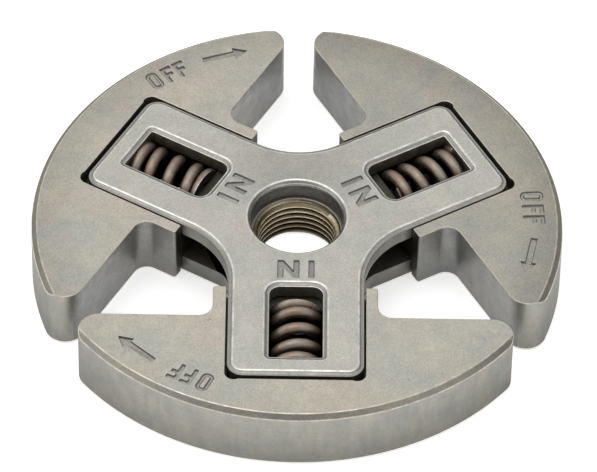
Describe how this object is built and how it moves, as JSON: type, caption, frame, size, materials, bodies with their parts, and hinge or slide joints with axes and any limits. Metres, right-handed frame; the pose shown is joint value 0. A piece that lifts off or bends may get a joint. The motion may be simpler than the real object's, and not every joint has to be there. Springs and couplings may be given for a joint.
{
  "type": "chainsaw clutch",
  "caption": "Centrifugal clutch with a threaded hub, shoes that slide out along its arms, and coil springs in windows that pull them back.",
  "frame": {"origin": "on the hub axis, at the hub's bottom face", "axes": "+Z along the hub axis towards the marked side, -Y along the front arm"},
  "size_m": [0.0742, 0.074, 0.01],
  "materials": {
    "hub_steel": "blasted sintered steel with a faint sheen",
    "shoe_steel": "blasted sintered steel, warmer than the hub",
    "spring_steel": "brown oiled spring wire"
  },
  "bodies": {
    "hub": {"hub": "hub_steel", "spring_front": "spring_steel", "spring_right": "spring_steel", "spring_left": "spring_steel"},
    "shoe_front": {"shoe_front": "shoe_steel"},
    "shoe_right": {"shoe_right": "shoe_steel"},
    "shoe_left": {"shoe_left": "shoe_steel"}
  },
  "joints": [
    {"name": "shoe_front_slide", "type": "slide", "parent": "hub", "child": "shoe_front", "axis": [0, -1, 0], "range_m": [0, 0.001], "stiffness_N_per_m": 82000, "deforming": ["spring_front"]},
    {"name": "shoe_right_slide", "type": "slide", "parent": "hub", "child": "shoe_right", "axis": [0.866, 0.5, 0], "range_m": [0, 0.001], "stiffness_N_per_m": 82000, "deforming": ["spring_right"]},
    {"name": "shoe_left_slide", "type": "slide", "parent": "hub", "child": "shoe_left", "axis": [-0.866, 0.5, 0], "range_m": [0, 0.001], "stiffness_N_per_m": 82000, "deforming": ["spring_left"]}
  ]
}
